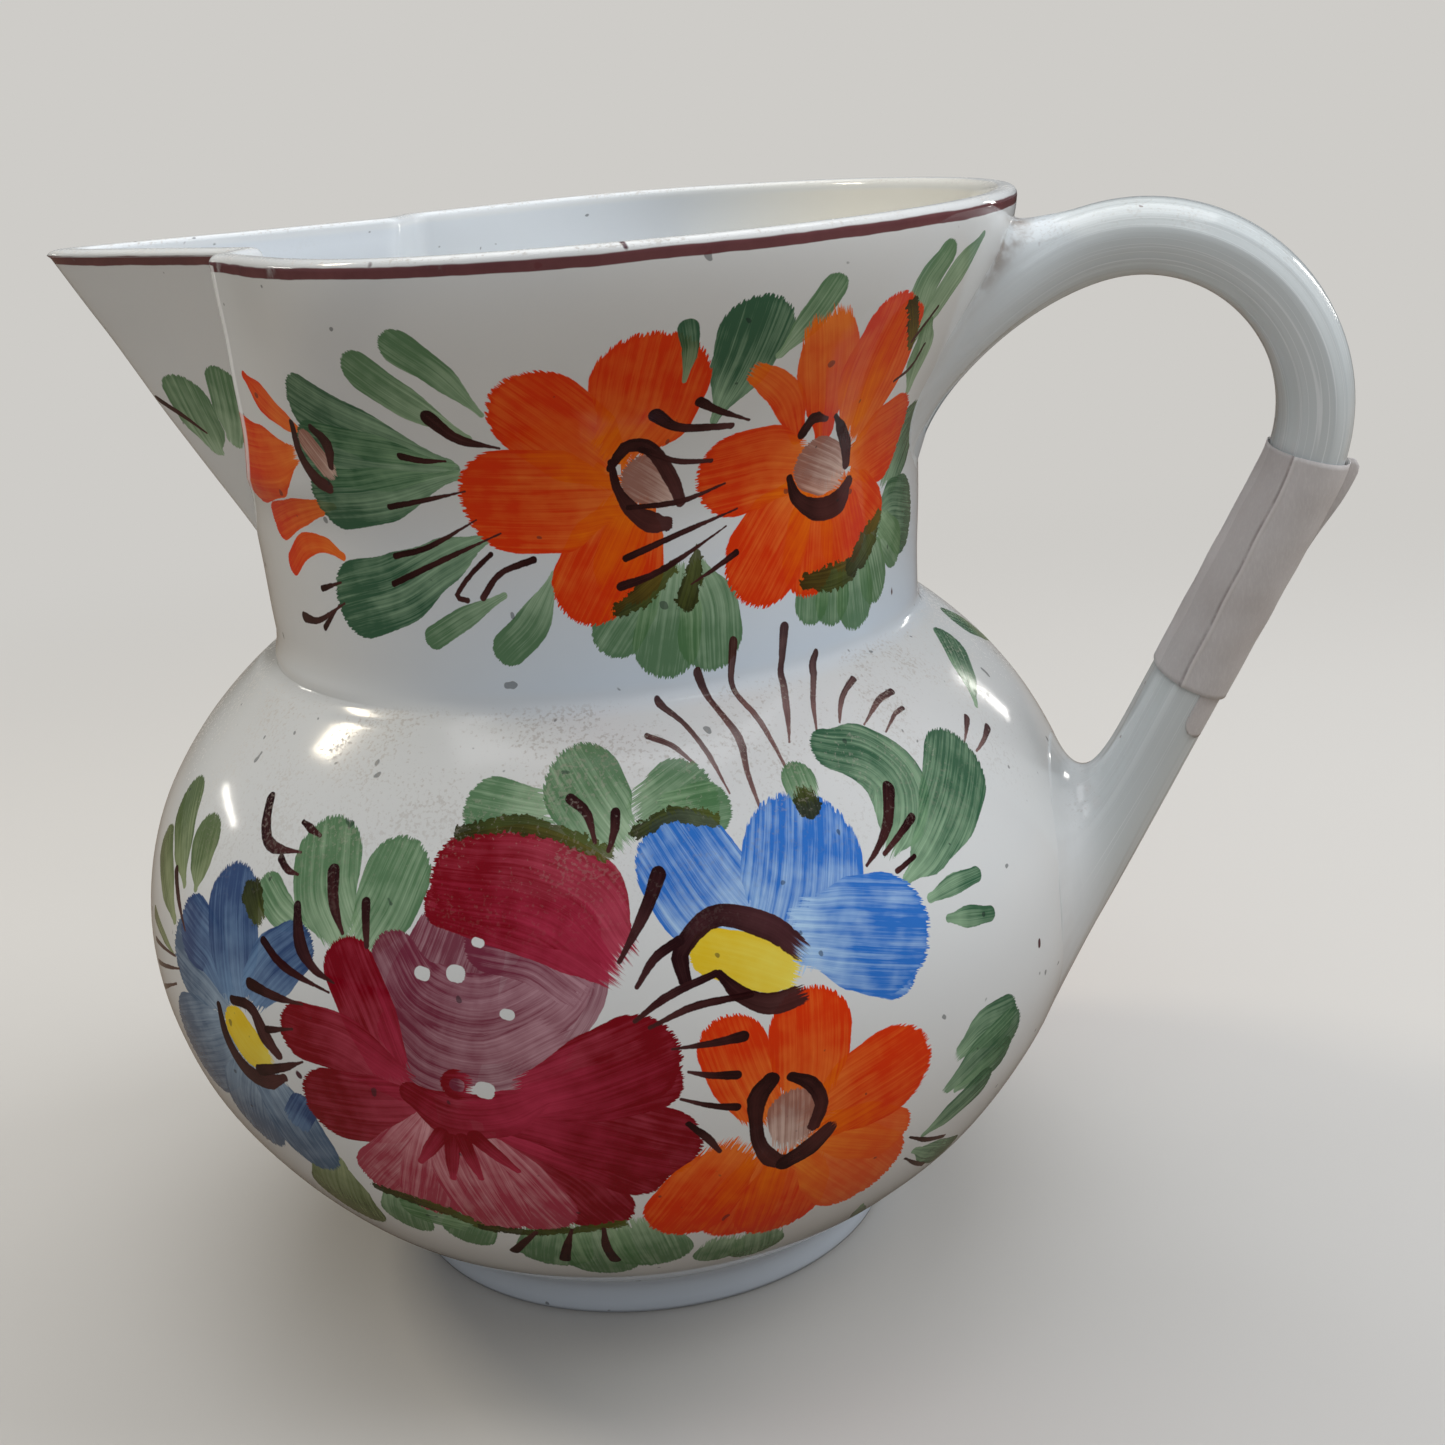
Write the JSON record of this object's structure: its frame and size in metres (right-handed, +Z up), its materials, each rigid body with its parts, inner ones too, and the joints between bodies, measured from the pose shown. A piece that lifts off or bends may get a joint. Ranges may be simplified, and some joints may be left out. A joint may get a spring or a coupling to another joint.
{
  "type": "ceramic pitcher",
  "caption": "Glazed ceramic pitcher with a round belly, a flared neck with a V-shaped pouring beak, a strap handle and hand-painted flowers.",
  "frame": {"origin": "on the floor plane, under the middle of the whole object's box; the jug's own axis stands 19.5 mm towards the spout from it", "axes": "+Z up, +X from the spout towards the handle, +Y across the jug"},
  "size_m": [0.2434, 0.184, 0.2],
  "materials": {
    "white_glaze": "gloss",
    "handle_glaze": "gloss",
    "foot_glaze": "gloss",
    "label_paper": "matte"
  },
  "bodies": {
    "root": {"foot_ring": "foot_glaze", "belly": "white_glaze", "neck_collar": "white_glaze", "pouring_spout": "white_glaze", "handle": "handle_glaze", "upper_slip_joint": "handle_glaze", "lower_slip_joint": "handle_glaze", "price_label": "label_paper"}
  },
  "joints": []
}
